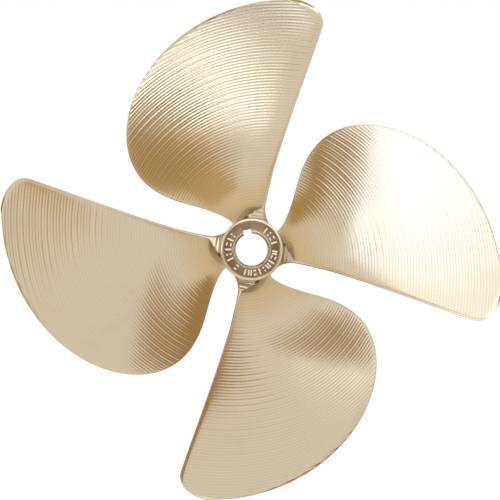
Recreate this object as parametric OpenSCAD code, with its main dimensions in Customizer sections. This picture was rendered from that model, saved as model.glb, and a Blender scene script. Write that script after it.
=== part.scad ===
// Left-hand, four-blade bronze propeller for a boat's tapered and keyed shaft.
// Y is the shaft axis and +Y points forward, to the boat. Z is up and X is to starboard.
// The origin is on the shaft axis, in the hub's forward face.
// Every shape is drawn with the shaft axis upright and the aft end on top, and is then laid along Y.

/* [Propeller] */
// Diameter of the circle that the blade tips sweep
propeller_d = 381; // [370:1:400]
// Distance that the blades would screw forward in one turn
pitch = 400; // [380:1:420]
// Angle from starboard up to the first blade's trailing edge
first_blade_angle = 72.2; // [60:0.1:80]

/* [Blade outline] */
// Angle between the two edges where the blade is widest
blade_width_angle = 76.8; // [66:0.1:80]
// Radius where the blade is widest, as a share of the tip radius
widest_at = 0.5; // [0.46:0.01:0.54]
// How far the blade narrows from there to the hub, as an angle
root_narrowing = 28; // [22:0.5:32]
// How far the trailing edge stands back at the hub, as an angle
root_set_in = 3.6; // [0:0.1:4]
// Angle from the trailing edge to the tip
tip_angle = 9.8; // [7:0.1:13]
// Radius where the trailing corner begins to round, as a share of the tip radius
corner_at = 0.9; // [0.86:0.01:0.93]
// Forward step from the hub's aft face to the trailing edge
trailing_setback = 7.7; // [7.7:0.1:12]

/* [Blade section] */
// Greatest thickness at the hub, without the fillet
root_thickness = 10.6; // [10:0.1:12.5]
// Greatest thickness at the tip
tip_thickness = 2.6; // [2.2:0.1:3.5]
// Thickness of the rounded edges
edge_thickness = 1.4; // [1:0.1:1.8]
// Height of the cup along the trailing edge
cup_height = 1.5; // [0:0.1:2.5]
// Width of the cupped strip
cup_width = 11; // [8:0.5:16]
// How far the leading edge is washed back
wash_height = 1.0; // [0:0.1:2]
// Width of the washed-back strip
wash_width = 14; // [8:0.5:20]
// Height of the root fillet above the hub
fillet_height = 12.5; // [10:0.5:14]
// Width of the root fillet on the hub
fillet_width = 7.6; // [7:0.1:9.5]

/* [Hub] */
// Length of the hub
hub_length = 85.725; // [84:0.025:92]
// Diameter of the hub's forward end
hub_fore_d = 49; // [48:0.1:51]
// Diameter of the hub's aft end
hub_aft_d = 45.4; // [44.5:0.1:47]
// Radius of the hub's outer edges
hub_edge_radius = 1.4; // [0.8:0.1:1.8]
// Outer diameter of the sunk ring in the aft face
ring_outer_d = 41.4; // [40.6:0.1:41.8]
// Inner diameter of the sunk ring in the aft face
ring_inner_d = 27.8; // [27.4:0.1:28.6]
// Depth of the sunk ring
ring_depth = 1.2; // [0.8:0.1:1.8]
// Width of the groove around the ring's floor
groove_width = 0.8; // [0.4:0.1:1.2]
// Depth of that groove below the floor
groove_depth = 0.4; // [0.2:0.1:0.6]

/* [Shaft bore] */
// Diameter of the tapered bore in the forward face
bore_d = 28.575; // [28.2:0.025:29]
// Length in which the bore narrows by one unit of diameter
taper_length = 16; // [15:1:18]
// Chamfer at the forward mouth of the bore
fore_chamfer = 0.8; // [0.4:0.1:1.2]
// Chamfer at the aft mouth of the bore
aft_chamfer = 1.3; // [0.6:0.1:1.6]
// Width of the keyway
key_width = 6.35; // [5.5:0.05:7]
// Depth of the keyway below the bore wall
key_depth = 3.175; // [2.5:0.025:3.5]
// Angle from starboard to the middle of the keyway
key_angle = 103.6; // [90:0.1:120]

/* [Raised marks] */
// Angle from starboard to the first mark
marks_start_angle = 143; // [140:1:150]
// Angle between one mark and the next
mark_spacing = 12.3; // [11.8:0.1:12.8]
// Width of a stroke
mark_width = 1.35; // [1:0.05:1.5]
// How far the marks stop short of the hub's aft face
mark_drop = 0.1; // [0.1:0.1:0.5]

/* [Hidden] */

blade_count = 4;
tip_r = propeller_d / 2;
widest_r = widest_at * tip_r;
corner_r = corner_at * tip_r;
fore_r = hub_fore_d / 2;
aft_r = hub_aft_d / 2;
root_r = (fore_r + aft_r) / 2;
fillet_top_r = root_r + fillet_height;
trailing_z = hub_length - trailing_setback;
fall_per_degree = pitch / 360;

// Exponents that shape the outline and the thickness curve
trailing_power = 1.6;
root_power = 2.15;
leading_power = 0.62;
thickness_power = 1.5;
fullness_power = 0.7;
fillet_end_share = 0.65;
fillet_face_power = 6;
// The outline's own tip lies this far outside the tip circle, which cuts it with a short land
tip_overrun = 0.15;
// Stretch of radius over which the cup and the wash grow to full height
edge_shape_run = 25;

chord_steps = 24;
fillet_steps = 6;
span_steps = 16;
tip_steps = 9;
root_layers = 6;
arc_steps = 5;
overcut = 1;
turned_fn = 120;
round_fn = 32;

bronze = [0.80, 0.70, 0.52];
pale_bronze = [0.86, 0.78, 0.62];

// ---------- Edges of a blade, as angles from its straight trailing edge ----------

function unit(x) = min(1, max(0, x));

function trailing_angle(r) =
    r < corner_r
        ? root_set_in * pow((corner_r - r) / (corner_r - root_r), trailing_power)
        : tip_angle * (1 - sqrt(1 - pow((r - corner_r) / (tip_r + tip_overrun - corner_r), 2)));

function leading_angle(r) =
    r < widest_r
        ? blade_width_angle - root_narrowing * pow((widest_r - r) / (widest_r - root_r), root_power)
        : tip_angle + (blade_width_angle - tip_angle)
            * pow(1 - pow((r - widest_r) / (tip_r + tip_overrun - widest_r), 2), leading_power);

// ---------- Thickness, fillet, cup and wash ----------

function lead_angle(r) = atan(pitch / (2 * PI * r));

function greatest_thickness(r) =
    tip_thickness + (root_thickness - tip_thickness)
        * pow(unit((tip_r - r) / (tip_r - root_r)), thickness_power);

// Quarter-circle rise of a rounded edge, from 0 at the edge to 1 at its full thickness
function edge_round(distance) = sqrt(1 - pow(1 - unit(distance / edge_thickness), 2));

function thickness(r, share, chord) =
    let (rim = edge_thickness * edge_round(min(share, 1 - share) * chord))
    rim + (greatest_thickness(r) - edge_thickness) * pow(max(0, sin(180 * share)), fullness_power);

function fillet_growth(r) =
    fillet_width * (1 - sqrt(1 - pow(unit((fillet_top_r - r) / fillet_height), 2)));

function fillet_face(share) = sqrt(1 - pow(abs(2 * share - 1), fillet_face_power));

// Aft movement of both faces near an edge: the cup aft at the trailing edge, the wash forward at the other
function edge_shape(r, share, chord) =
    let (grown = unit((r - fillet_top_r) / edge_shape_run))
    let (cup = cup_height * pow(unit(1 - share * chord / cup_width), 2))
    let (wash = wash_height * pow(unit(1 - (1 - share) * chord / wash_width), 2))
    grown * (cup - wash);

// ---------- Points of a blade ----------

function hub_r(z) = fore_r + (aft_r - fore_r) * unit(z / hub_length);

// The hub is a slight cone: the first rings follow it, and the rest lie on true cylinders
function seated_r(r, z) = r + (hub_r(z) - root_r) * pow(unit((fillet_top_r - r) / fillet_height), 2);

function degrees_of(length, r) = length / r * 180 / PI;

// [angle, z] on the cylinder of radius r. share runs from the trailing edge to the leading edge.
// face is 0 on the aft face and 1 on the forward face.
function section_point(r, share, face) =
    let (
        t_angle = trailing_angle(r),
        l_angle = leading_angle(r),
        lead = lead_angle(r),
        chord = (l_angle - t_angle) * PI / 180 * r / cos(lead),
        along = t_angle + (l_angle - t_angle) * share,
        growth = fillet_growth(r),
        stretch = (2 * share - 1) * growth * fillet_end_share,
        half = thickness(r, share, chord) / 2,
        out = growth * fillet_face(share) + half,
        aft_shift = (face == 0 ? out : -out) - half + edge_shape(r, share, chord)
    )
    [
        along + degrees_of(stretch * cos(lead) + aft_shift * sin(lead), r),
        trailing_z - along * fall_per_degree - stretch * sin(lead) + aft_shift * cos(lead)
    ];

function in_space(angle, z, r) = [r * cos(angle), r * sin(angle), z];

function placed(r, point) = in_space(point[0], point[1], seated_r(r, point[1]));

function share_at(i) = (1 - cos(180 * i / chord_steps)) / 2;

// One closed ring of points: along the aft face to the leading edge and back along the forward face
function ring(r) = [
    for (i = [0 : 2 * chord_steps - 1])
        let (back = i > chord_steps)
        placed(r, section_point(r, share_at(back ? 2 * chord_steps - i : i), back ? 1 : 0))
];

// Radii of the rings: close together in the fillet and towards the tip
ring_radii = [
    for (i = [0 : fillet_steps - 1]) root_r + fillet_height * (1 - cos(90 * i / fillet_steps)),
    for (i = [0 : span_steps - 1]) fillet_top_r + (corner_r - fillet_top_r) * i / span_steps,
    for (i = [0 : tip_steps]) corner_r + (tip_r - corner_r) * sin(90 * i / tip_steps)
];

// Points inside the root face, in layers between the two faces, all on the hub's own surface
root_face_points = [
    for (layer = [1 : root_layers - 1], i = [1 : chord_steps - 1])
        let (
            near = section_point(root_r, share_at(i), 0),
            far = section_point(root_r, share_at(i), 1),
            between = near + (far - near) * layer / root_layers
        )
        in_space(between[0], between[1], hub_r(between[1]))
];

ring_size = 2 * chord_steps;
ring_count = len(ring_radii);
root_face_start = ring_size * ring_count;

// Number of the point at step i of a layer of the root face
function root_index(layer, i) =
    i == 0 ? 0
    : i == chord_steps ? chord_steps
    : layer == 0 ? i
    : layer == root_layers ? ring_size - i
    : root_face_start + (layer - 1) * (chord_steps - 1) + i - 1;

skin_faces = [
    for (j = [0 : ring_count - 2], i = [0 : ring_size - 1])
        let (a = j * ring_size + i, b = j * ring_size + (i + 1) % ring_size)
        each [[a, b + ring_size, a + ring_size], [a, b, b + ring_size]]
];

root_faces = [
    for (layer = [0 : root_layers - 1], i = [0 : chord_steps - 1])
        let (
            a = root_index(layer, i),
            b = root_index(layer, i + 1),
            c = root_index(layer + 1, i + 1),
            d = root_index(layer + 1, i)
        )
        each [
            if (i < chord_steps - 1) [a, c, b],
            if (i > 0) [a, d, c]
        ]
];

tip_face_start = ring_size * (ring_count - 1);
tip_faces = [
    for (i = [0 : chord_steps - 1])
        let (
            a = tip_face_start + i,
            b = tip_face_start + i + 1,
            c = tip_face_start + (ring_size - i - 1) % ring_size,
            d = tip_face_start + (ring_size - i) % ring_size
        )
        each [
            if (i < chord_steps - 1) [a, b, c],
            if (i > 0) [a, c, d]
        ]
];

blade_points = concat([for (r = ring_radii) each ring(r)], root_face_points);
blade_faces = concat(skin_faces, root_faces, tip_faces);

// ---------- Sub-parts ----------

module along_shaft() rotate([90, 0, 0]) children();

module blade(number) {
    along_shaft()
        rotate([0, 0, first_blade_angle + (number - 1) * 360 / blade_count])
            polyhedron(points = blade_points, faces = blade_faces, convexity = 6);
}

function bore_r(z) = (bore_d - z / taper_length) / 2;

function arc(centre, r, from, to) = [
    for (i = [0 : arc_steps])
        let (a = from + (to - from) * i / arc_steps)
        centre + r * [cos(a), sin(a)]
];

// Half section of the hub, from the forward mouth of the bore round the outside and back
hub_profile = concat(
    [[bore_r(0) + fore_chamfer, 0]],
    arc([fore_r - hub_edge_radius, hub_edge_radius], hub_edge_radius, -90, 0),
    arc([aft_r - hub_edge_radius, hub_length - hub_edge_radius], hub_edge_radius, 0, 90),
    [
        [ring_outer_d / 2, hub_length],
        [ring_outer_d / 2, hub_length - ring_depth - groove_depth],
        [ring_outer_d / 2 - groove_width, hub_length - ring_depth - groove_depth],
        [ring_outer_d / 2 - groove_width, hub_length - ring_depth],
        [ring_inner_d / 2 + ring_depth / 4, hub_length - ring_depth],
        [ring_inner_d / 2, hub_length],
        [bore_r(hub_length) + aft_chamfer, hub_length],
        [bore_r(hub_length - aft_chamfer), hub_length - aft_chamfer],
        [bore_r(fore_chamfer), fore_chamfer]
    ]
);

// Half section of the keyway, whose floor keeps the same depth below the tapered wall
keyway_profile = [
    [0, -overcut],
    [bore_r(-overcut) + key_depth, -overcut],
    [bore_r(hub_length + overcut) + key_depth, hub_length + overcut],
    [0, hub_length + overcut]
];

module hub() {
    color(bronze)
        along_shaft()
            difference() {
                rotate_extrude($fn = turned_fn) polygon(hub_profile);
                rotate([0, 0, key_angle])
                    rotate([90, 0, 0])
                        linear_extrude(key_width, center = true) polygon(keyway_profile);
            }
}

// The plain marks: each stroke is [radial middle, sideways middle, radial half reach, sideways half reach]
bar = [[0, 0, 1.9, 0]];
pips = [[-1.3, 0, 0.2, 0], [1.3, 0, 0.2, 0]];
dashes = [[-1.5, 0, 0, 0.7], [1.5, 0, 0, 0.7]];
pair = [[0, -0.9, 1.5, 0], [0, 0.9, 1.5, 0]];
gap = [];
marks = [
    pips, bar, dashes, bar, pips, bar, gap, dashes, gap, bar, pair, dashes, bar, pips, pair, bar, dashes, pair,
    gap, bar, dashes, pips, bar
];
mark_r = (ring_outer_d / 2 - groove_width + ring_inner_d / 2) / 2;

module stroke(radial, sideways, radial_reach, sideways_reach) {
    linear_extrude(ring_depth - mark_drop)
        hull()
            for (side = [-1, 1])
                translate([mark_r + radial + side * radial_reach, sideways + side * sideways_reach])
                    circle(d = mark_width, $fn = round_fn);
}

// Bars, pips and dashes by turns, standing on the floor of the sunk ring
module raised_marks() {
    color(pale_bronze)
        along_shaft()
            translate([0, 0, hub_length - ring_depth])
                for (i = [0 : len(marks) - 1])
                    rotate([0, 0, marks_start_angle + mark_spacing * i])
                        for (s = marks[i]) stroke(s[0], s[1], s[2], s[3]);
}

module blade_1() color(pale_bronze) blade(1);
module blade_2() color(pale_bronze) blade(2);
module blade_3() color(pale_bronze) blade(3);
module blade_4() color(pale_bronze) blade(4);

hub();
raised_marks();
blade_1();
blade_2();
blade_3();
blade_4();
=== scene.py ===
"""A left-hand, four-blade bronze propeller for a boat's tapered and keyed shaft, with its studio.

Y is the shaft axis and +Y points forward, to the boat. Z is up and X is to starboard. Every new piece is
drawn upright, with the shaft along Z and its aft end on top, and is then laid along Y. Lengths are in metres.
"""

import logging
import math
from dataclasses import dataclass
from enum import Enum

import bmesh
import bpy
from mathutils import Matrix, Vector


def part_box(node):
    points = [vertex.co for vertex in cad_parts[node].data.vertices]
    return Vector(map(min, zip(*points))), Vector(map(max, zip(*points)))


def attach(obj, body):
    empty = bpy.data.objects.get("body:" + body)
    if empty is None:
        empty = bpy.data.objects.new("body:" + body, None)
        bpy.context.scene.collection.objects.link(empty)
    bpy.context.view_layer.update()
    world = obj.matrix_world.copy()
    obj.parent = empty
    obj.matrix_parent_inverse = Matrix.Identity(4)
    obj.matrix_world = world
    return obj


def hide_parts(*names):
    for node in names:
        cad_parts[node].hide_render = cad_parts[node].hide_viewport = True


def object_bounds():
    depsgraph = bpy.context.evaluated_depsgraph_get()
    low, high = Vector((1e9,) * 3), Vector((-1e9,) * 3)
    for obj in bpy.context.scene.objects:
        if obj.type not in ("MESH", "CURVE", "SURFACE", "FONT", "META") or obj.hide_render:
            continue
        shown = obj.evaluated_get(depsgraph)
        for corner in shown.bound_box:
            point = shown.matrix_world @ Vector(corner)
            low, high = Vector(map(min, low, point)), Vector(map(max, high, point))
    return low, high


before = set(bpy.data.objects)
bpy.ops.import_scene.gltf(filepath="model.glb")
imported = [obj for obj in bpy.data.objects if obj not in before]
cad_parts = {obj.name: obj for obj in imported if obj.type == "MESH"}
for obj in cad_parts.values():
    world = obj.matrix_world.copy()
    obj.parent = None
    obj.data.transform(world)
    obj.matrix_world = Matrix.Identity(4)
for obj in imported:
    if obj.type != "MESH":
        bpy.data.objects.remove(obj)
cad_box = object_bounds()

log = logging.getLogger("propeller")

BODY = "root"
BLADE_COUNT = 4
# How much thinner the hub is at its aft end, as a radius
HUB_TAPER = 0.0018
# From the hub's aft face back to the camera
CAMERA_DISTANCE = 0.489
# From the lowest tip down to the floor
FLOOR_GAP = 0.0005
# Turns an upright drawing, aft end on top, so that its aft end points along -Y
ALONG_SHAFT = Matrix.Rotation(math.radians(90), 4, "X")


class Slot(Enum):
    """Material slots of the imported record."""

    CAST = "cast_bronze"
    MARK = "mark_bronze"
    MILLED = "milled_bronze"


class Face(Enum):
    """The two faces of a blade section: the value is the side of the mean surface that it lies on."""

    AFT = 1
    FORWARD = -1


# ---------------------------------------------------------------------------------------------------------
# Small helpers
# ---------------------------------------------------------------------------------------------------------


def unit(value: float) -> float:
    """Return value held between 0 and 1."""
    return min(1.0, max(0.0, value))


def smooth(value: float) -> float:
    """Return value held between 0 and 1 and eased at both ends."""
    held = unit(value)
    return held * held * (3 - 2 * held)


def new_piece(name: str, points: list, faces: list) -> bpy.types.Object:
    """Make a mesh object at the origin.

    Args:
        name: Name of the object and its mesh.
        points: Corners, in metres.
        faces: Corner numbers of each face.

    Returns:
        The linked object.
    """
    mesh = bpy.data.meshes.new(name)
    mesh.from_pydata(points, [], faces)
    mesh.update()
    piece = bpy.data.objects.new(name, mesh)
    bpy.context.scene.collection.objects.link(piece)
    return piece


def apply_stack(piece: bpy.types.Object) -> None:
    """Replace a piece's mesh by what its modifiers make of it, and drop them.

    Args:
        piece: The object whose stack is done.
    """
    bpy.context.view_layer.update()
    graph = bpy.context.evaluated_depsgraph_get()
    rough = piece.data
    piece.data = bpy.data.meshes.new_from_object(piece.evaluated_get(graph))
    piece.data.name = piece.name
    piece.modifiers.clear()
    bpy.data.meshes.remove(rough)


def hand_over(piece: bpy.types.Object, slot: Slot, *nodes: str) -> None:
    """Let a finished piece stand for CAD nodes and ride on the body.

    Args:
        piece: The finished piece, in place.
        slot: Not used.
        nodes: CAD nodes that it stands for.
    """
    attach(piece, BODY)
    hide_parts(*nodes)
    low, high = (Vector(corner) for corner in (piece.bound_box[0], piece.bound_box[6]))
    log.info("%s stands for %s, from %s to %s", piece.name, ", ".join(nodes), low[:], high[:])


# ---------------------------------------------------------------------------------------------------------
# Finishes
# ---------------------------------------------------------------------------------------------------------


@dataclass(frozen=True)
class MilledFinish:
    """Blade bronze as a ball-nosed cutter leaves it, lightly brushed.

    Colours are linear. Lengths are in metres.
    """

    name: str = "milled_bronze"
    metal: tuple = (0.600, 0.500, 0.352, 1)
    # crest: painted highlight, a lighter bronze laid along each crest so that the ridges show
    crest: tuple = (0.660, 0.560, 0.410, 1)
    tarnish: tuple = (0.540, 0.430, 0.280, 1)
    # root_shade: painted shade, a browner bronze near the root where the blade meets the hub
    root_shade: tuple = (0.455, 0.365, 0.228, 1)
    root_shade_full_r: float = 0.026
    root_shade_end_r: float = 0.037
    roughness_low: float = 0.17
    roughness_high: float = 0.25
    tick_depth: float = 0.000003

    def material(self) -> bpy.types.Material:
        """Write out the milled bronze.

        The UV map holds the distance along a cutter pass, in centimetres, and the pass number.

        Returns:
            The material.
        """
        made = bpy.data.materials.new(self.name)
        made.use_nodes = True
        tree = made.node_tree
        nodes, links = tree.nodes, tree.links
        nodes.clear()

        output = nodes.new("ShaderNodeOutputMaterial")
        output.label = "Blade surface"
        bronze = nodes.new("ShaderNodeBsdfPrincipled")
        bronze.label = "Nickel-aluminium bronze"
        bronze.inputs["Metallic"].default_value = 1
        links.new(bronze.outputs["BSDF"], output.inputs["Surface"])

        passes = nodes.new("NodeFrame")
        passes.label = "Cutter passes"
        map_along = nodes.new("ShaderNodeUVMap")
        map_along.label = "Along and across the passes"
        map_along.uv_map = "passes"
        split = nodes.new("ShaderNodeSeparateXYZ")
        split.label = "Distance along, pass number"
        links.new(map_along.outputs["UV"], split.inputs["Vector"])
        to_crest = nodes.new("ShaderNodeMath")
        to_crest.label = "Passes to the nearest crest"
        to_crest.operation = "PINGPONG"
        to_crest.inputs[1].default_value = 0.5
        links.new(split.outputs["Y"], to_crest.inputs[0])
        # Painted highlight: a thin lighter line along each crest
        crest_highlight_line = nodes.new("ShaderNodeMapRange")
        crest_highlight_line.label = "Painted highlight line on each crest"
        crest_highlight_line.interpolation_type = "SMOOTHSTEP"
        crest_highlight_line.inputs["From Min"].default_value = 0.0
        crest_highlight_line.inputs["From Max"].default_value = 0.16
        crest_highlight_line.inputs["To Min"].default_value = 1.0
        crest_highlight_line.inputs["To Max"].default_value = 0.0
        links.new(to_crest.outputs["Value"], crest_highlight_line.inputs["Value"])
        pass_number = nodes.new("ShaderNodeMath")
        pass_number.label = "Whole pass number"
        pass_number.operation = "FLOOR"
        links.new(split.outputs["Y"], pass_number.inputs[0])
        pass_chance = nodes.new("ShaderNodeTexWhiteNoise")
        pass_chance.label = "Each pass cuts a little differently"
        pass_chance.noise_dimensions = "1D"
        links.new(pass_number.outputs["Value"], pass_chance.inputs["W"])
        for node in (map_along, split, to_crest, crest_highlight_line, pass_number, pass_chance):
            node.parent = passes

        feed = nodes.new("NodeFrame")
        feed.label = "Feed marks across the passes"
        pass_offset = nodes.new("ShaderNodeMath")
        pass_offset.label = "Each pass starts elsewhere"
        pass_offset.operation = "MULTIPLY"
        pass_offset.inputs[1].default_value = 7.31
        links.new(pass_number.outputs["Value"], pass_offset.inputs[0])
        tick_place = nodes.new("ShaderNodeCombineXYZ")
        tick_place.label = "Place along this pass"
        links.new(split.outputs["X"], tick_place.inputs["X"])
        links.new(pass_offset.outputs["Value"], tick_place.inputs["Y"])
        ticks = nodes.new("ShaderNodeTexNoise")
        ticks.label = "Cutter ticks, about 0.8 mm apart"
        ticks.inputs["Scale"].default_value = 12.0
        ticks.inputs["Detail"].default_value = 1.5
        ticks.inputs["Roughness"].default_value = 0.6
        links.new(tick_place.outputs["Vector"], ticks.inputs["Vector"])
        tick_relief = nodes.new("ShaderNodeBump")
        tick_relief.label = "Depth of the ticks"
        tick_relief.inputs["Strength"].default_value = 1.0
        tick_relief.inputs["Distance"].default_value = self.tick_depth
        links.new(ticks.outputs["Fac"], tick_relief.inputs["Height"])
        links.new(tick_relief.outputs["Normal"], bronze.inputs["Normal"])
        for node in (pass_offset, tick_place, ticks, tick_relief):
            node.parent = feed

        clouds = nodes.new("NodeFrame")
        clouds.label = "Hand brushing and tarnish"
        place = nodes.new("ShaderNodeTexCoord")
        place.label = "Place on the propeller"
        brushing = nodes.new("ShaderNodeTexNoise")
        brushing.label = "Unevenly brushed areas"
        brushing.inputs["Scale"].default_value = 22.0
        brushing.inputs["Detail"].default_value = 4.0
        brushing.inputs["Roughness"].default_value = 0.55
        links.new(place.outputs["Object"], brushing.inputs["Vector"])
        tarnished = nodes.new("ShaderNodeMapRange")
        tarnished.label = "Where it has tarnished"
        tarnished.inputs["From Min"].default_value = 0.52
        tarnished.inputs["From Max"].default_value = 0.80
        tarnished.inputs["To Min"].default_value = 0.0
        tarnished.inputs["To Max"].default_value = 0.5
        links.new(brushing.outputs["Fac"], tarnished.inputs["Value"])
        for node in (place, brushing, tarnished):
            node.parent = clouds

        # Painted shade at the blade root beside the hub, fading out between two distances from the shaft axis
        root = nodes.new("NodeFrame")
        root.label = "Painted shade at the root"
        off_axis = nodes.new("ShaderNodeVectorMath")
        off_axis.label = "Square to the shaft axis"
        off_axis.operation = "MULTIPLY"
        off_axis.inputs[1].default_value = (1, 0, 1)
        links.new(place.outputs["Object"], off_axis.inputs[0])
        from_axis = nodes.new("ShaderNodeVectorMath")
        from_axis.label = "Distance from the shaft axis"
        from_axis.operation = "LENGTH"
        links.new(off_axis.outputs["Vector"], from_axis.inputs[0])
        root_shade_fade = nodes.new("ShaderNodeMapRange")
        root_shade_fade.label = "Painted shade fades away from the hub"
        root_shade_fade.interpolation_type = "SMOOTHSTEP"
        root_shade_fade.inputs["From Min"].default_value = self.root_shade_full_r
        root_shade_fade.inputs["From Max"].default_value = self.root_shade_end_r
        root_shade_fade.inputs["To Min"].default_value = 1.0
        root_shade_fade.inputs["To Max"].default_value = 0.0
        links.new(from_axis.outputs["Value"], root_shade_fade.inputs["Value"])
        for node in (off_axis, from_axis, root_shade_fade):
            node.parent = root

        colour = nodes.new("NodeFrame")
        colour.label = "Colour"
        worn = nodes.new("ShaderNodeMix")
        worn.label = "Bronze, browner where tarnished"
        worn.data_type = "RGBA"
        worn.inputs["A"].default_value = self.metal
        worn.inputs["B"].default_value = self.tarnish
        links.new(tarnished.outputs["Result"], worn.inputs["Factor"])
        # Painted highlight: the crest lines are mixed to a lighter bronze
        crest_highlight = nodes.new("ShaderNodeMix")
        crest_highlight.label = "Painted highlight on the crests"
        crest_highlight.data_type = "RGBA"
        crest_highlight.inputs["B"].default_value = self.crest
        links.new(crest_highlight_line.outputs["Result"], crest_highlight.inputs["Factor"])
        links.new(worn.outputs["Result"], crest_highlight.inputs["A"])
        # Painted shade: the root is mixed to a browner bronze
        root_shade_mix = nodes.new("ShaderNodeMix")
        root_shade_mix.label = "Painted shade, browner at the root"
        root_shade_mix.data_type = "RGBA"
        root_shade_mix.inputs["B"].default_value = self.root_shade
        links.new(root_shade_fade.outputs["Result"], root_shade_mix.inputs["Factor"])
        links.new(crest_highlight.outputs["Result"], root_shade_mix.inputs["A"])
        links.new(root_shade_mix.outputs["Result"], bronze.inputs["Base Color"])
        for node in (worn, crest_highlight, root_shade_mix):
            node.parent = colour

        gloss = nodes.new("NodeFrame")
        gloss.label = "Gloss"
        uneven = nodes.new("ShaderNodeMath")
        uneven.label = "Brushing and the chance of each pass"
        uneven.operation = "MULTIPLY_ADD"
        uneven.inputs[1].default_value = 0.3
        links.new(pass_chance.outputs["Value"], uneven.inputs[0])
        links.new(brushing.outputs["Fac"], uneven.inputs[2])
        satin = nodes.new("ShaderNodeMapRange")
        satin.label = "Satin, from bright to dull"
        satin.inputs["From Min"].default_value = 0.35
        satin.inputs["From Max"].default_value = 0.95
        satin.inputs["To Min"].default_value = self.roughness_low
        satin.inputs["To Max"].default_value = self.roughness_high
        links.new(uneven.outputs["Value"], satin.inputs["Value"])
        links.new(satin.outputs["Result"], bronze.inputs["Roughness"])
        for node in (uneven, satin):
            node.parent = gloss

        for step, node in enumerate(nodes):
            node.location = (240 * (step % 8) - 1200, -220 * (step // 8))
        return made


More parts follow.
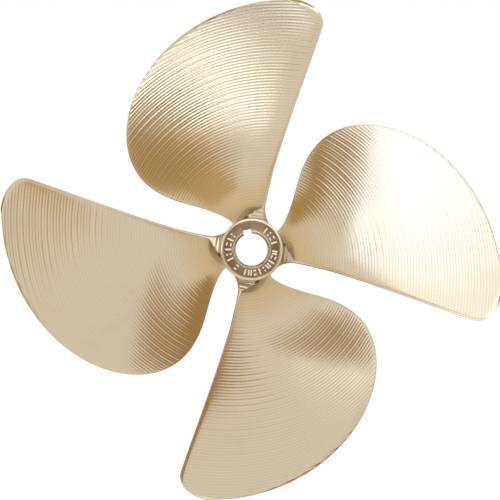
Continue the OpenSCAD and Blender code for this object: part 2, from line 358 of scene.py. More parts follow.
@dataclass(frozen=True)
class CastFinish:
    """Turned or as-cast bronze, dark in the sunk ring's hollows and bright on its worn tops, whose lighter
    bronze is partly a painted highlight.

    Colours are linear. Lengths are in metres. The wear lies between two distances aft of the origin.
    """

    name: str
    metal: tuple
    hollow: tuple
    hollow_depth: float
    top_depth: float
    ring_inner_r: float
    ring_outer_r: float
    roughness_low: float
    roughness_high: float
    grain_depth: float
    turning_depth: float
    ring_fade: float = 0.0004
    fade_start: float = 0.002
    fade_end: float = 0.004

    def material(self) -> bpy.types.Material:
        """Write out the cast or turned bronze.

        Returns:
            The material.
        """
        made = bpy.data.materials.new(self.name)
        made.use_nodes = True
        tree = made.node_tree
        nodes, links = tree.nodes, tree.links
        nodes.clear()

        output = nodes.new("ShaderNodeOutputMaterial")
        output.label = "Hub surface"
        bronze = nodes.new("ShaderNodeBsdfPrincipled")
        bronze.label = "Nickel-aluminium bronze"
        bronze.inputs["Metallic"].default_value = 1
        links.new(bronze.outputs["BSDF"], output.inputs["Surface"])

        lathe = nodes.new("NodeFrame")
        lathe.label = "Turning marks"
        place = nodes.new("ShaderNodeTexCoord")
        place.label = "Place on the propeller"
        split = nodes.new("ShaderNodeSeparateXYZ")
        split.label = "Across, along and up"
        links.new(place.outputs["Object"], split.inputs["Vector"])
        flat = nodes.new("ShaderNodeCombineXYZ")
        flat.label = "Offset from the shaft axis"
        links.new(split.outputs["X"], flat.inputs["X"])
        links.new(split.outputs["Z"], flat.inputs["Y"])
        radius = nodes.new("ShaderNodeVectorMath")
        radius.label = "Radius from the shaft axis"
        radius.operation = "LENGTH"
        links.new(flat.outputs["Vector"], radius.inputs[0])
        path = nodes.new("ShaderNodeMath")
        path.label = "Tool path, in and along"
        path.operation = "ADD"
        links.new(radius.outputs["Value"], path.inputs[0])
        links.new(split.outputs["Y"], path.inputs[1])
        rings = nodes.new("ShaderNodeTexNoise")
        rings.label = "Fine turned rings"
        rings.noise_dimensions = "1D"
        rings.inputs["Scale"].default_value = 2600.0
        rings.inputs["Detail"].default_value = 1.0
        links.new(path.outputs["Value"], rings.inputs["W"])
        ring_relief = nodes.new("ShaderNodeBump")
        ring_relief.label = "Depth of the rings"
        ring_relief.inputs["Strength"].default_value = 1.0
        ring_relief.inputs["Distance"].default_value = self.turning_depth
        links.new(rings.outputs["Fac"], ring_relief.inputs["Height"])
        for node in (place, split, flat, radius, path, rings, ring_relief):
            node.parent = lathe

        skin = nodes.new("NodeFrame")
        skin.label = "Casting skin"
        grain = nodes.new("ShaderNodeTexNoise")
        grain.label = "Sand grain"
        grain.inputs["Scale"].default_value = 900.0
        grain.inputs["Detail"].default_value = 3.0
        grain.inputs["Roughness"].default_value = 0.6
        links.new(place.outputs["Object"], grain.inputs["Vector"])
        grain_relief = nodes.new("ShaderNodeBump")
        grain_relief.label = "Depth of the grain"
        grain_relief.inputs["Strength"].default_value = 1.0
        grain_relief.inputs["Distance"].default_value = self.grain_depth
        links.new(grain.outputs["Fac"], grain_relief.inputs["Height"])
        links.new(ring_relief.outputs["Normal"], grain_relief.inputs["Normal"])
        links.new(grain_relief.outputs["Normal"], bronze.inputs["Normal"])
        for node in (grain, grain_relief):
            node.parent = skin

        wear = nodes.new("NodeFrame")
        wear.label = "Dark hollows, bright tops"
        height = nodes.new("ShaderNodeMapRange")
        height.label = "From the hollow floor to the worn top"
        height.interpolation_type = "SMOOTHSTEP"
        height.inputs["From Min"].default_value = -self.hollow_depth
        height.inputs["From Max"].default_value = -self.top_depth
        links.new(split.outputs["Y"], height.inputs["Value"])
        barrel = nodes.new("ShaderNodeMapRange")
        barrel.label = "Clean outside the ring"
        barrel.inputs["From Min"].default_value = self.ring_outer_r
        barrel.inputs["From Max"].default_value = self.ring_outer_r + self.ring_fade
        links.new(radius.outputs["Value"], barrel.inputs["Value"])
        bore = nodes.new("ShaderNodeMapRange")
        bore.label = "Clean inside the ring"
        bore.inputs["From Min"].default_value = self.ring_inner_r
        bore.inputs["From Max"].default_value = self.ring_inner_r - self.ring_fade
        links.new(radius.outputs["Value"], bore.inputs["Value"])
        forward = nodes.new("ShaderNodeMapRange")
        forward.label = "Clean ahead of the ring"
        forward.inputs["From Min"].default_value = -self.hollow_depth + self.fade_start
        forward.inputs["From Max"].default_value = -self.hollow_depth + self.fade_end
        links.new(split.outputs["Y"], forward.inputs["Value"])
        sides = nodes.new("ShaderNodeMath")
        sides.label = "Outside or inside"
        sides.operation = "MAXIMUM"
        links.new(barrel.outputs["Result"], sides.inputs[0])
        links.new(bore.outputs["Result"], sides.inputs[1])
        away = nodes.new("ShaderNodeMath")
        away.label = "Anywhere but in the ring"
        away.operation = "MAXIMUM"
        links.new(sides.outputs["Value"], away.inputs[0])
        links.new(forward.outputs["Result"], away.inputs[1])
        level = nodes.new("ShaderNodeMath")
        level.label = "Clean tops and surroundings"
        level.operation = "MAXIMUM"
        links.new(away.outputs["Value"], level.inputs[0])
        links.new(height.outputs["Result"], level.inputs[1])
        stains = nodes.new("ShaderNodeTexNoise")
        stains.label = "Patchy stains"
        stains.inputs["Scale"].default_value = 160.0
        stains.inputs["Detail"].default_value = 4.0
        links.new(place.outputs["Object"], stains.inputs["Vector"])
        patchy = nodes.new("ShaderNodeMath")
        patchy.label = "Stains break up the wear"
        patchy.operation = "MULTIPLY_ADD"
        patchy.inputs[1].default_value = 0.5
        links.new(stains.outputs["Fac"], patchy.inputs[0])
        links.new(level.outputs["Value"], patchy.inputs[2])
        clean = nodes.new("ShaderNodeMapRange")
        clean.label = "How clean the metal is"
        clean.inputs["From Min"].default_value = 0.2
        clean.inputs["From Max"].default_value = 1.15
        links.new(patchy.outputs["Value"], clean.inputs["Value"])
        colour = nodes.new("ShaderNodeMix")
        colour.label = "Brown hollow to bright bronze"
        colour.data_type = "RGBA"
        colour.inputs["A"].default_value = self.hollow
        colour.inputs["B"].default_value = self.metal
        links.new(clean.outputs["Result"], colour.inputs["Factor"])
        links.new(colour.outputs["Result"], bronze.inputs["Base Color"])
        gloss = nodes.new("ShaderNodeMapRange")
        gloss.label = "Dull hollow to satin top"
        gloss.inputs["To Min"].default_value = self.roughness_high
        gloss.inputs["To Max"].default_value = self.roughness_low
        links.new(clean.outputs["Result"], gloss.inputs["Value"])
        links.new(gloss.outputs["Result"], bronze.inputs["Roughness"])
        for node in (height, barrel, bore, forward, sides, away, level, stains, patchy, clean, colour, gloss):
            node.parent = wear

        for step, node in enumerate(nodes):
            node.location = (240 * (step % 8) - 1200, -220 * (step // 8))
        return made


# ---------------------------------------------------------------------------------------------------------
# Blades
# ---------------------------------------------------------------------------------------------------------


@dataclass
class Blade:
    """One blade: a helical plate whose sections lie on cylinders about the shaft.

    Angles are in degrees. A section's share runs from 0 at the trailing edge to 1 at the leading edge.
    """

    number: int
    hub_length: float
    hub_fore_r: float
    hub_aft_r: float
    tip_r: float
    pitch: float = 0.400
    first_angle: float = 72.2
    width_angle: float = 76.8
    widest_at: float = 0.5
    root_narrowing: float = 28.0
    narrowing_power: float = 2.15
    root_set_in: float = 3.6
    set_in_power: float = 1.6
    tip_angle: float = 9.8
    leading_power: float = 0.62
    corner_at: float = 0.9
    trailing_setback: float = 0.0077
    root_thickness: float = 0.0106
    tip_thickness: float = 0.0026
    edge_thickness: float = 0.0014
    edge_flat: float = 0.0005
    cup_height: float = 0.0015
    cup_width: float = 0.011
    wash_height: float = 0.0010
    wash_width: float = 0.014
    fillet_height: float = 0.0125
    fillet_width: float = 0.0076
    end_fillet_width: float = 0.0116
    end_fillet_height: float = 0.0088
    end_fillet_power: float = 1.1
    leading_stretch: float = 0.65
    trailing_stretch: float = 0.5
    terrace_pitch: float = 0.0026
    terrace_depth: float = 0.0005
    pass_pitch: float = 0.0023
    first_pass_r: float = 0.0446
    ridge_height: float = 0.00017
    tip_overrun: float = 0.00015
    seat_depth: float = 0.0010
    plain_rows: int = 22
    inner_columns: int = 11

    @property
    def root_r(self) -> float:
        """Mean radius of the hub."""
        return (self.hub_fore_r + self.hub_aft_r) / 2

    @property
    def fillet_top_r(self) -> float:
        """Radius at which the root fillet ends."""
        return self.root_r + self.fillet_height

    def trailing_angle(self, r: float) -> float:
        """Return the angle of the trailing edge at radius r."""
        corner_r = self.corner_at * self.tip_r
        if r < corner_r:
            return self.root_set_in * ((corner_r - r) / (corner_r - self.root_r)) ** self.set_in_power
        rise = (r - corner_r) / (self.tip_r + self.tip_overrun - corner_r)
        return self.tip_angle * (1 - math.sqrt(1 - rise**2))

    def leading_angle(self, r: float) -> float:
        """Return the angle of the leading edge at radius r."""
        widest_r = self.widest_at * self.tip_r
        if r < widest_r:
            inwards = (widest_r - r) / (widest_r - self.root_r)
            return self.width_angle - self.root_narrowing * inwards**self.narrowing_power
        rise = (r - widest_r) / (self.tip_r + self.tip_overrun - widest_r)
        return self.tip_angle + (self.width_angle - self.tip_angle) * (1 - rise**2) ** self.leading_power

    def lead(self, r: float) -> float:
        """Return the helix angle at radius r, in radians."""
        return math.atan(self.pitch / (2 * math.pi * r))

    def chord(self, r: float) -> float:
        """Return the length of the section at radius r."""
        return math.radians(self.leading_angle(r) - self.trailing_angle(r)) * r / math.cos(self.lead(r))

    def thickness(self, r: float, share: float) -> float:
        """Return the thickness of the plate, without the root fillet.

        Args:
            r: Radius of the section.
            share: Place along the section.

        Returns:
            The thickness.
        """
        taper = unit((self.tip_r - r) / (self.tip_r - self.root_r)) ** 1.5
        greatest = self.tip_thickness + (self.root_thickness - self.tip_thickness) * taper
        from_edge = min(share, 1 - share) * self.chord(r)
        rim = self.edge_thickness * math.sqrt(1 - (1 - unit(from_edge / self.edge_thickness)) ** 2)
        flat = self.edge_flat * unit(1 - share * self.chord(r) / self.edge_thickness)
        return rim + flat + (greatest - self.edge_thickness) * max(0.0, math.sin(math.pi * share)) ** 0.7

    def edge_shape(self, r: float, share: float) -> float:
        """Return how far aft the cup, less the wash, moves both faces near an edge."""
        chord = self.chord(r)
        cup = self.cup_height * unit(1 - share * chord / self.cup_width) ** 2
        wash = self.wash_height * unit(1 - (1 - share) * chord / self.wash_width) ** 2
        return unit((r - self.fillet_top_r) / 0.025) * (cup - wash)

    def ridge(self, r: float, share: float, step: float) -> float:
        """Return how far a crest stands out of a face, or a valley sinks into it.

        Args:
            r: Radius of the section.
            share: Place along the section.
            step: Pass number, whole on a crest and half in a valley.

        Returns:
            The offset, outwards from the face.
        """
        chord = self.chord(r)
        off_trailing = smooth((share * chord - 0.0025) / 0.005)
        off_leading = smooth((1 - share) * chord / 0.002)
        begun = 0.25 + 0.75 * smooth((r - self.first_pass_r) / 0.030)
        uneven = 1.0 + 0.25 * math.cos(math.pi * math.floor(step)) + 0.15 * math.sin(2.4 * math.floor(step))
        side = 0.5 if abs(step - round(step)) < 0.25 else -0.5
        return self.ridge_height * side * uneven * off_trailing * off_leading * begun

    def fillet_fall(self, r: float) -> float:
        """Return how deep in the root fillet radius r is, from 0 at its top to 1 on the hub."""
        return unit((self.fillet_top_r - r) / self.fillet_height)

    def fillet_growth(self, r: float) -> float:
        """Return how far the rounded fillet stands out at radius r."""
        return self.fillet_width * (1 - math.sqrt(1 - self.fillet_fall(r) ** 2))

    def fillet(self, r: float, share: float, face: Face) -> float:
        """Return how far the root fillet moves a face outwards.

        The fillet dies out at both edges, but not on the aft face at the trailing end: there it is straight
        and wide, and the end is cut off flat.

        Args:
            r: Radius of the section.
            share: Place along the section.
            face: The aft or the forward face.

        Returns:
            The offset, outwards from the face.
        """
        growth = self.fillet_growth(r)
        rounded = growth * math.sqrt(max(0.0, 1 - abs(2 * share - 1) ** 6))
        if face is Face.FORWARD or share > 0.5:
            return rounded
        end_fall = unit((self.root_r + self.end_fillet_height - r) / self.end_fillet_height)
        straight = self.end_fillet_width * end_fall**self.end_fillet_power
        return growth + (straight - growth) * smooth(1 - 2 * share)

    def terrace(self, r: float) -> float:
        """Return how far the cut-off trailing end steps back at radius r, in terraces left by the cutter."""
        inside = smooth((self.root_r + self.end_fillet_height - r) / 0.002)
        return self.terrace_depth * inside * ((r - self.root_r) / self.terrace_pitch % 1.0)

    def hub_r(self, z: float) -> float:
        """Return the hub's radius at a height above its forward face."""
        return self.hub_fore_r + (self.hub_aft_r - self.hub_fore_r) * unit(z / self.hub_length)

    def surface_point(self, r: float, share: float, face: Face, step: float | None) -> Vector:
        """Return a point of a face, upright.

        Args:
            r: Radius of the section.
            share: Place along the section.
            face: The aft or the forward face.
            step: Pass number, or None where there are no ridges.

        Returns:
            The point.
        """
        trailing, leading, lead = self.trailing_angle(r), self.leading_angle(r), self.lead(r)
        along = trailing + (leading - trailing) * share
        reach = self.leading_stretch if share > 0.5 else self.trailing_stretch
        stretch = (2 * share - 1) * self.fillet_growth(r) * reach
        if share == 0:
            stretch += self.terrace(r)
        half = self.thickness(r, share) / 2
        out = self.fillet(r, share, face) + half
        if step is not None:
            out += self.ridge(r, share, step)
        shift = face.value * out - half + self.edge_shape(r, share)
        angle = math.radians(along) + (stretch * math.cos(lead) + shift * math.sin(lead)) / r
        trailing_z = self.hub_length - self.trailing_setback
        z = trailing_z - along * self.pitch / 360 - stretch * math.sin(lead) + shift * math.cos(lead)
        seated = r + (self.hub_r(z) - self.root_r) * self.fillet_fall(r) ** 2
        turned = angle + math.radians(self.first_angle + (self.number - 1) * 360 / BLADE_COUNT)
        return Vector((seated * math.cos(turned), seated * math.sin(turned), z))

    def rows(self) -> list[tuple[float, float | None]]:
        """Return the radius and pass number of each row of the cage, from the hub to the tip."""
        run = self.first_pass_r - self.pass_pitch / 2 - self.root_r
        rows = [(self.root_r + run * i / self.plain_rows, None) for i in range(self.plain_rows)]
        step = 0.0
        while self.first_pass_r + step * self.pass_pitch < self.tip_r - 0.0008:
            rows.append((self.first_pass_r + step * self.pass_pitch, step))
            step += 0.5
        return rows + [(self.tip_r - gap, None) for gap in (0.0004, 0.00012, 0.0)]

    def shares(self, r: float) -> list[float]:
        """Return the shares of the columns on one face, close together at the edges."""
        chord = self.chord(r)
        close = [gap * min(1.0, chord / 0.030) / chord for gap in (0.0, 0.0005, 0.0018, 0.0045)]
        run = 1 - 2 * close[-1]
        gaps = self.inner_columns + 1
        middle = [close[-1] + run * i / gaps for i in range(1, gaps)]
        return close + middle + [1 - share for share in reversed(close)]

    def ring(self, r: float, step: float | None) -> list[Vector]:
        """Return one closed row of the cage.

        The corners stand off the section so that the smoothed surface passes through it.

        Args:
            r: Radius of the section.
            step: Pass number, or None where there are no ridges.

        Returns:
            Points along the aft face to the leading edge, and back along the forward face. The first and
            last are the two corners of the trailing end.
        """
        shares = self.shares(r)
        aft = [self.surface_point(r, share, Face.AFT, step) for share in shares]
        forward = [self.surface_point(r, share, Face.FORWARD, step) for share in shares[-2::-1]]
        wanted = aft + forward
        cage = list(wanted)
        for _ in range(4):
            smoothed = [
                (cage[i - 1] + 4 * cage[i] + cage[(i + 1) % len(cage)]) / 6 for i in range(len(cage))
            ]
            cage = [corner + goal - got for corner, goal, got in zip(cage, wanted, smoothed)]
        return cage

    def build(self) -> bpy.types.Object:
        """Build the blade: a cage with a row on each crest and in each valley, then its stack.

        Returns:
            The piece, in place.
        """
        rows = self.rows()
        rings = [self.ring(r, step) for r, step in rows]
        seat = [Vector((p.x, p.y, 0)) * (1 - self.seat_depth / math.hypot(p.x, p.y)) for p in rings[0]]
        rings.insert(0, [Vector((s.x, s.y, p.z)) for s, p in zip(seat, rings[0])])
        rows.insert(0, (self.root_r, None))
        size = len(rings[0])
        half = size // 2
        points = [p for ring in rings for p in ring]
        faces = []
        for j in range(len(rings) - 1):
            for i in range(size):
                a, b = j * size + i, j * size + (i + 1) % size
                faces.append((a, b, b + size, a + size))
        for start, outward in ((0, False), (size * (len(rings) - 1), True)):
            for i in range(half):
                corners = [start + i, start + i + 1, start + size - i - 2, start + size - i - 1]
                corners = list(dict.fromkeys(corners))
                faces.append(tuple(corners if outward else reversed(corners)))
        piece = new_piece(f"blade_{self.number}_milled", points, faces)
        self.write_pass_map(piece, rows, size)
        self.crease_crests(piece, rows, size)
        piece.data.transform(ALONG_SHAFT)
        piece.data.polygons.foreach_set("use_smooth", [True] * len(piece.data.polygons))
        smoothing = piece.modifiers.new("smoothed_sections", "SUBSURF")
        smoothing.levels = 2
        smoothing.render_levels = 2
        smoothing.uv_smooth = "NONE"
        return piece

    def write_pass_map(self, piece: bpy.types.Object, rows: list, size: int) -> None:
        """Write the UV map: centimetres along a pass, and the pass number.

        Args:
            piece: The cage.
            rows: Radius and pass number of each row.
            size: Corners in a row.
        """
        half = size // 2
        layer = piece.data.uv_layers.new(name="passes")
        for loop in piece.data.loops:
            j, i = divmod(loop.vertex_index, size)
            r = rows[j][0]
            share = self.shares(r)[i if i <= half else size - 1 - i]
            along = self.trailing_angle(r) + (self.leading_angle(r) - self.trailing_angle(r)) * share
            layer.data[loop.index].uv = (
                math.radians(along) * r * 100,
                (r - self.first_pass_r) / self.pass_pitch + 50,
            )

    def crease_crests(self, piece: bpy.types.Object, rows: list, size: int) -> None:
        """Crease the crests, the end rows and the trailing end's corners, so that they stay sharp.

        Args:
            piece: The cage.
            rows: Radius and pass number of each row.
            size: Corners in a row.
        """
        sharp = {j for j, (_, step) in enumerate(rows) if step is not None and step == int(step)}
        sharp |= {0, len(rows) - 1}
        creases = piece.data.attributes.new("crease_edge", "FLOAT", "EDGE")
        for edge in piece.data.edges:
            j, k = (corner // size for corner in edge.vertices)
            i, m = (corner % size for corner in edge.vertices)
            around = abs(i - m) in (1, size - 1)
            if j == k:
                creases.data[edge.index].value = 1.0 if j in sharp and around else 0.0
            elif i in (0, size - 1):
                below_top = self.fillet_top_r + 0.002 - rows[j][0]
                creases.data[edge.index].value = 0.95 * smooth(below_top / 0.006)

    def dress(self, piece: bpy.types.Object, finish: bpy.types.Material) -> None:
        """Give the blade its finish and let it stand for its CAD node."""
        piece.data.materials.append(finish)
        hand_over(piece, Slot.MILLED, f"blade_{self.number}")


# ---------------------------------------------------------------------------------------------------------
# Hub
# ---------------------------------------------------------------------------------------------------------


@dataclass
class Hub:
    """The turned hub: a slight cone with a sunk ring aft and a tapered, keyed bore."""

    length: float
    fore_r: float
    aft_r: float
    edge_radius: float = 0.0014
    ring_outer_r: float = 0.0207
    ring_inner_r: float = 0.0139
    ring_depth: float = 0.0012
    groove_width: float = 0.0008
    groove_depth: float = 0.0004
    groove_corner: float = 0.0001
    bore_r: float = 0.0142875
    taper_length: float = 16.0
    fore_chamfer: float = 0.0008
    aft_chamfer: float = 0.0013
    key_width: float = 0.00635
    key_depth: float = 0.003175
    key_angle: float = 103.6
    ring_wall_rounding: float = 0.00035
    turned_steps: int = 144

    def bore_at(self, z: float) -> float:
        """Return the radius of the bore at a height above the forward face."""
        return self.bore_r - z / self.taper_length / 2

    @staticmethod
    def rounding(centre: tuple, radius: float, start: float, end: float, steps: int = 6) -> list:
        """Return points of an arc in the half section.

        Args:
            centre: Radius and height of its centre.
            radius: Radius of the arc.
            start: First angle, in degrees from outwards.
            end: Last angle.
            steps: Number of chords.

        Returns:
            Radius and height of each point.
        """
        angles = [math.radians(start + (end - start) * i / steps) for i in range(steps + 1)]
        return [(centre[0] + radius * math.cos(a), centre[1] + radius * math.sin(a)) for a in angles]

    def profile(self) -> list:
        """Return the closed half section, down the outside and back up the bore."""
        floor = self.length - self.ring_depth
        lip = self.ring_wall_rounding
        edge = self.edge_radius
        points = [(self.bore_at(self.length - self.aft_chamfer), self.length - self.aft_chamfer)]
        points += [(self.bore_at(self.length) + self.aft_chamfer, self.length)]
        points += self.rounding((self.ring_inner_r - lip, self.length - lip), lip, 90, 0)
        points += self.rounding((self.ring_inner_r + 2 * lip, floor + 2 * lip), 2 * lip, 180, 270)
        groove_floor = floor - self.groove_depth
        points += [(self.ring_outer_r - self.groove_width - self.groove_corner, floor)]
        points += [(self.ring_outer_r - self.groove_width, groove_floor + self.groove_corner)]
        points += self.rounding((self.ring_outer_r - lip, groove_floor + lip), lip, 270, 360)
        points += self.rounding((self.ring_outer_r + lip, self.length - lip), lip, 180, 90)
        points += self.rounding((self.aft_r - edge, self.length - edge), edge, 90, 0, 10)
        points += self.rounding((self.fore_r - edge, edge), edge, 0, -90, 10)
        points += [(self.bore_at(0) + self.fore_chamfer, 0.0)]
        points += [(self.bore_at(self.fore_chamfer), self.fore_chamfer)]
        return points

    def keyway_cutter(self) -> bpy.types.Object:
        """Build the block that cuts the keyway, its floor parallel to the tapered wall."""
        over = 0.001
        half = self.key_width / 2
        points = []
        for z in (-over, self.length + over):
            reach = self.bore_at(z) + self.key_depth
            points += [(0, -half, z), (reach, -half, z), (reach, half, z), (0, half, z)]
        faces = [(0, 3, 2, 1), (4, 5, 6, 7)]
        faces += [(i, (i + 1) % 4, (i + 1) % 4 + 4, i + 4) for i in range(4)]
        cutter = new_piece("keyway_cutter", points, faces)
        cutter.data.transform(Matrix.Rotation(math.radians(self.key_angle), 4, "Z"))
        return cutter

    def build(self) -> bpy.types.Object:
        """Turn the profile, cut the keyway, break the sharp edges and lay the hub along the shaft.

        Returns:
            The piece, in place.
        """
        profile = self.profile()
        piece = new_piece("hub_turned", [(r, 0, z) for r, z in profile], [])
        turned = bmesh.new()
        turned.from_mesh(piece.data)
        turned.verts.ensure_lookup_table()
        for i in range(len(profile)):
            turned.edges.new((turned.verts[i], turned.verts[(i + 1) % len(profile)]))
        turned.to_mesh(piece.data)
        turned.free()
        screw = piece.modifiers.new("turned_on_the_lathe", "SCREW")
        screw.axis = "Z"
        screw.steps = self.turned_steps
        screw.render_steps = self.turned_steps
        screw.use_merge_vertices = True
        screw.merge_threshold = 0.00001
        cutter = self.keyway_cutter()
        keyway = piece.modifiers.new("keyway", "BOOLEAN")
        keyway.operation = "DIFFERENCE"
        keyway.object = cutter
        keyway.solver = "EXACT"
        apply_stack(piece)
        bpy.data.objects.remove(cutter)
        piece.data.transform(ALONG_SHAFT)
        piece.data.polygons.foreach_set("use_smooth", [True] * len(piece.data.polygons))
        piece.data.set_sharp_from_angle(angle=math.radians(28))
        return piece

    def dress(self, piece: bpy.types.Object) -> None:
        """Give the hub its finish and let it stand for its CAD node."""
        finish = CastFinish(
            name="cast_bronze",
            # metal: the blades' bronze made about a sixth lighter, a painted highlight on the hub
            metal=(0.700, 0.580, 0.410, 1),
            hollow=(0.325, 0.215, 0.115, 1),
            hollow_depth=self.length - self.ring_depth,
            top_depth=self.length - self.ring_depth * 0.4,
            ring_inner_r=self.ring_inner_r,
            ring_outer_r=self.ring_outer_r,
            roughness_low=0.20,
            roughness_high=0.22,
            grain_depth=0.000012,
            turning_depth=0.000016,
        )
        piece.data.materials.append(finish.material())
        hand_over(piece, Slot.CAST, "hub")


class Mark(Enum):
    """The plain marks, as strokes: radial and sideways middle, then radial and sideways half reach."""

    BAR = ((0.0, 0.0, 0.0019, 0.0),)
    PIPS = ((-0.0013, 0.0, 0.0002, 0.0), (0.0013, 0.0, 0.0002, 0.0))
    DASHES = ((-0.0015, 0.0, 0.0, 0.0007), (0.0015, 0.0, 0.0, 0.0007))
    PAIR = ((0.0, -0.0009, 0.0015, 0.0), (0.0, 0.0009, 0.0015, 0.0))


@dataclass
class RaisedMarks:
    """Plain bars, pips and dashes by turns, cast on the floor of the sunk ring."""

    hub: Hub
    start_angle: float = 143.0
    spacing: float = 12.3
    sequence: tuple = (
        Mark.PIPS, Mark.BAR, Mark.DASHES, Mark.BAR, Mark.PIPS, Mark.BAR, None, Mark.DASHES, None,
        Mark.BAR, Mark.PAIR, Mark.DASHES, Mark.BAR, Mark.PIPS, Mark.PAIR, Mark.BAR, Mark.DASHES,
        Mark.PAIR, None, Mark.BAR, Mark.DASHES, Mark.PIPS, Mark.BAR,
    )  # fmt: skip
    stroke: float = 0.00135
    drop: float = 0.0001
    corner_steps: int = 6
    least_reach: float = 0.00005
    foot_swell: float = 1.3
    top_swell: float = 0.85

    def outline(self, reach: float, swell: float) -> list:
        """Return the rounded outline of a stroke.

        Args:
            reach: Distance from its middle to the middle of each round end.
            swell: How many times the stroke's width it is wide.

        Returns:
            Points along and across the stroke.
        """
        radius = self.stroke / 2 * swell
        points = []
        for side in (1, -1):
            for i in range(self.corner_steps + 1):
                angle = math.pi * i / self.corner_steps - side * math.pi / 2
                along = side * max(reach, self.least_reach) + radius * math.cos(angle)
                points.append((along, radius * math.sin(angle)))
        return points

    def build(self) -> bpy.types.Object:
        """Raise each mark off the floor with rounded top edges, and lay them along the shaft.

        Returns:
            The piece, in place.
        """
        floor = self.hub.length - self.hub.ring_depth
        top = self.hub.length - self.drop
        middle_r = (self.hub.ring_outer_r - self.hub.groove_width + self.hub.ring_inner_r) / 2
        points, faces = [], []
        for number, mark in enumerate(self.sequence):
            if mark is None:
                continue
            turn = Matrix.Rotation(math.radians(self.start_angle + self.spacing * number), 4, "Z")
            for radial, sideways, radial_reach, sideways_reach in mark.value:
                start = len(points)
                for z, swell in ((floor, self.foot_swell), (top, self.top_swell)):
                    for along, across in self.outline(max(radial_reach, sideways_reach), swell):
                        if sideways_reach > radial_reach:
                            along, across = -across, along
                        points.append(turn @ Vector((middle_r + radial + along, sideways + across, z)))
                size = (len(points) - start) // 2
                faces.append(tuple(reversed(range(start, start + size))))
                faces.append(tuple(range(start + size, start + 2 * size)))
                for i in range(size):
                    k = (i + 1) % size
                    faces.append((start + i, start + k, start + size + k, start + size + i))
        piece = new_piece("raised_marks_cast", points, faces)
        piece.data.transform(ALONG_SHAFT)
        rounded = piece.modifiers.new("cast_corners", "BEVEL")
        rounded.width = 0.0002
        rounded.segments = 3
        rounded.limit_method = "ANGLE"
        rounded.angle_limit = math.radians(50)
        piece.data.polygons.foreach_set("use_smooth", [True] * len(piece.data.polygons))
        return piece

    def dress(self, piece: bpy.types.Object) -> None:
        """Give the marks their finish and let them stand for their CAD node."""
        finish = CastFinish(
            name="mark_bronze",
            # metal: the blades' bronze made about half again lighter, a painted highlight on the raised marks
            metal=(0.880, 0.745, 0.550, 1),
            hollow=(0.380, 0.270, 0.170, 1),
            hollow_depth=self.hub.length - self.hub.ring_depth,
            top_depth=self.hub.length - self.drop * 2,
            ring_inner_r=self.hub.ring_inner_r,
            ring_outer_r=self.hub.ring_outer_r,
            roughness_low=0.34,
            roughness_high=0.40,
            grain_depth=0.000024,
            turning_depth=0.000002,
        )
        piece.data.materials.append(finish.material())
        hand_over(piece, Slot.MARK, "raised_marks")


# ---------------------------------------------------------------------------------------------------------
# Studio
# ---------------------------------------------------------------------------------------------------------


@dataclass
class Softbox:
    """A plain soft light that faces the propeller. Its colour is linear."""

    name: str
    toward: tuple
    distance: float
    width: float
    height: float
    radiance: float
    colour: tuple = (1.0, 1.0, 1.0)

    def aim(self, piece: bpy.types.Object) -> None:
        """Put a light or a card in its place, facing the propeller and out of the camera's sight."""
        direction = Vector(self.toward).normalized()
        piece.location = direction * self.distance
        piece.rotation_mode = "QUATERNION"
        piece.rotation_quaternion = direction.to_track_quat("Z", "Y")
        piece.visible_camera = False

    def build(self) -> bpy.types.Object:
        """Hang the light."""
        light = bpy.data.lights.new(self.name, "AREA")
        light.shape = "RECTANGLE"
        light.size = self.width
        light.size_y = self.height
        light.color = self.colour
        light.energy = self.radiance * math.pi * self.width * self.height
        lamp = bpy.data.objects.new(self.name, light)
        bpy.context.scene.collection.objects.link(lamp)
        self.aim(lamp)
        return lamp


@dataclass
class Card(Softbox):
    """A plain panel of the room that the bronze mirrors: it gives off a little even light of its own."""

    def build(self) -> bpy.types.Object:
        """Hang the card."""
        x, y = self.width / 2, self.height / 2
        card = new_piece(self.name, [(-x, -y, 0), (x, -y, 0), (x, y, 0), (-x, y, 0)], [(0, 1, 2, 3)])
        made = bpy.data.materials.new(self.name)
        made.use_nodes = True
        paint = made.node_tree.nodes["Principled BSDF"]
        paint.inputs["Base Color"].default_value = (0, 0, 0, 1)
        paint.inputs["Roughness"].default_value = 1.0
        paint.inputs["Specular IOR Level"].default_value = 0.0
        paint.inputs["Emission Color"].default_value = (*self.colour, 1)
        paint.inputs["Emission Strength"].default_value = self.radiance
        card.data.materials.append(made)
        self.aim(card)
        return card


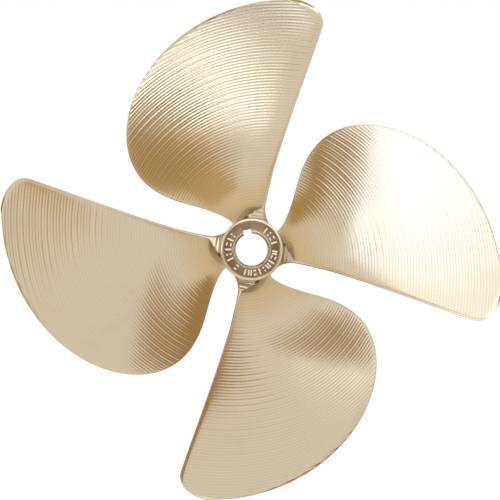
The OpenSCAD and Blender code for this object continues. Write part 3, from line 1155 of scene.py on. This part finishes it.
@dataclass
class Studio:
    """A white room with a pale floor, a few soft lights and a camera on the shaft's axis."""

    floor_z: float
    camera_y: float
    lens: float = 48.5
    shift_x: float = -0.0032
    shift_y: float = -0.0008
    floor_size: float = 30.0

    def lay_floor(self) -> None:
        """Lay a large pale floor just under the lowest tip."""
        half = self.floor_size / 2
        corners = [(-half, -half), (half, -half), (half, half), (-half, half)]
        floor = new_piece("floor", [(x, y, self.floor_z) for x, y in corners], [(0, 1, 2, 3)])
        made = bpy.data.materials.new("white_floor")
        made.use_nodes = True
        paint = made.node_tree.nodes["Principled BSDF"]
        paint.inputs["Base Color"].default_value = (0.12, 0.12, 0.12, 1)
        paint.inputs["Roughness"].default_value = 1.0
        paint.inputs["Specular IOR Level"].default_value = 0.0
        paint.inputs["Emission Color"].default_value = (1, 1, 1, 1)
        paint.inputs["Emission Strength"].default_value = 0.93
        floor.data.materials.append(made)
        floor.visible_glossy = False

    def fill_room(self) -> None:
        """Fill the room with soft light: white behind the camera, warmer ahead of it, white to the camera."""
        world = bpy.data.worlds.new("white_room")
        world.use_nodes = True
        bpy.context.scene.world = world
        nodes, links = world.node_tree.nodes, world.node_tree.links
        nodes.clear()
        output = nodes.new("ShaderNodeOutputWorld")
        output.label = "Room"
        output.location = (900, 0)
        room = nodes.new("ShaderNodeBackground")
        room.label = "Light in the room"
        room.location = (450, 0)
        backdrop = nodes.new("ShaderNodeBackground")
        backdrop.label = "White backdrop"
        backdrop.location = (450, -180)
        backdrop.inputs["Color"].default_value = (1, 1, 1, 1)
        seen = nodes.new("ShaderNodeLightPath")
        seen.label = "Seen directly"
        seen.location = (450, 380)
        choice = nodes.new("ShaderNodeMixShader")
        choice.label = "Backdrop where seen directly"
        choice.location = (680, 0)
        place = nodes.new("ShaderNodeTexCoord")
        place.label = "Direction"
        place.location = (-450, 0)
        split = nodes.new("ShaderNodeSeparateXYZ")
        split.label = "Forward part"
        split.location = (-230, 0)
        ahead = nodes.new("ShaderNodeMapRange")
        ahead.label = "How far ahead"
        ahead.location = (0, 0)
        ahead.inputs["From Min"].default_value = 0.0
        ahead.inputs["From Max"].default_value = 0.5
        tint = nodes.new("ShaderNodeMix")
        tint.label = "White to warm"
        tint.location = (220, 0)
        tint.data_type = "RGBA"
        tint.inputs["A"].default_value = (1.05, 1.05, 1.07, 1)
        tint.inputs["B"].default_value = (0.94, 0.81, 0.58, 1)
        links.new(place.outputs["Generated"], split.inputs["Vector"])
        links.new(split.outputs["Y"], ahead.inputs["Value"])
        links.new(ahead.outputs["Result"], tint.inputs["Factor"])
        links.new(tint.outputs["Result"], room.inputs["Color"])
        links.new(seen.outputs["Is Camera Ray"], choice.inputs["Fac"])
        links.new(room.outputs["Background"], choice.inputs[1])
        links.new(backdrop.outputs["Background"], choice.inputs[2])
        links.new(choice.outputs["Shader"], output.inputs["Surface"])

    @staticmethod
    def toward(off_axis: float, around: float) -> tuple:
        """Return a direction from the propeller.

        Args:
            off_axis: Degrees away from straight aft, where the camera is.
            around: Degrees counter-clockwise from starboard, as the camera sees it.

        Returns:
            The direction.
        """
        a, b = math.radians(off_axis), math.radians(around)
        return (math.sin(a) * math.cos(b), -math.cos(a), math.sin(a) * math.sin(b))

    def light(self) -> None:
        """Fill the room, then hang three softboxes, five dim warm cards and a shade at the camera."""
        self.fill_room()
        cool = (0.52, 0.68, 1.0)
        Softbox("wide_softbox", self.toward(46, 60), 3.0, 4.5, 2.2, 0.98, (0.54, 0.67, 0.84)).build()
        Softbox("top_softbox", self.toward(57, 97), 3.0, 2.4, 2.4, 1.4, cool).build()
        Softbox("left_softbox", self.toward(51, 174), 3.0, 1.7, 0.6, 2.4, (0.66, 0.80, 1.0)).build()
        Card("left_panel", self.toward(76, 208), 3.2, 3.8, 2.3, 0.78, (1.0, 0.74, 0.38)).build()
        Card("left_corner", self.toward(50, 198), 3.1, 0.9, 0.6, 0.30, (1.0, 0.75, 0.50)).build()
        Card("dark_corner", self.toward(35, 163), 3.1, 0.6, 0.9, 0.30, (1.0, 0.85, 0.70)).build()
        Card("low_panel", self.toward(91, 317), 3.2, 3.4, 2.4, 0.55, (1.0, 0.66, 0.30)).build()
        Card("high_panel", self.toward(86, 124), 3.2, 4.0, 1.4, 0.58, (1.0, 0.73, 0.30)).build()
        Card("camera_shade", (0, -1, -0.02), -self.camera_y, 0.24, 0.08, 0.15, (1.0, 0.70, 0.30)).build()

    def set_camera(self) -> None:
        """Put the camera on the shaft's axis, aft of the propeller and looking forward."""
        lens = bpy.data.cameras.new("camera")
        lens.lens = self.lens
        lens.shift_x = self.shift_x
        lens.shift_y = self.shift_y
        camera = bpy.data.objects.new("camera", lens)
        bpy.context.scene.collection.objects.link(camera)
        camera.location = (0, self.camera_y, 0)
        camera.rotation_euler = (math.radians(90), 0, 0)
        bpy.context.scene.camera = camera

    def build(self) -> None:
        """Set up the floor, the lights, the camera and plain colour handling."""
        self.lay_floor()
        self.light()
        self.set_camera()
        bpy.context.scene.view_settings.view_transform = "Standard"
        bpy.context.scene.view_settings.look = "None"


def tip_radius(node: str) -> float:
    """Return the greatest distance of a CAD node's corners from the shaft axis."""
    return max(math.hypot(corner.co.x, corner.co.z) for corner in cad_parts[node].data.vertices)


def main() -> None:
    """Build the studio, the hub, its marks and the blades, and report each piece."""
    logging.basicConfig(level=logging.INFO, format="%(name)s: %(message)s")
    low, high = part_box("hub")
    Studio(floor_z=cad_box[0].z - FLOOR_GAP, camera_y=low.y - CAMERA_DISTANCE).build()
    hub = Hub(length=-low.y, fore_r=high.x, aft_r=high.x - HUB_TAPER)
    hub.dress(hub.build())
    marks = RaisedMarks(hub)
    marks.dress(marks.build())
    milled = MilledFinish().material()
    for number in range(1, BLADE_COUNT + 1):
        blade = Blade(number, hub.length, hub.fore_r, hub.aft_r, tip_radius(f"blade_{number}"))
        blade.dress(blade.build(), milled)


if __name__ == "__main__":
    main()
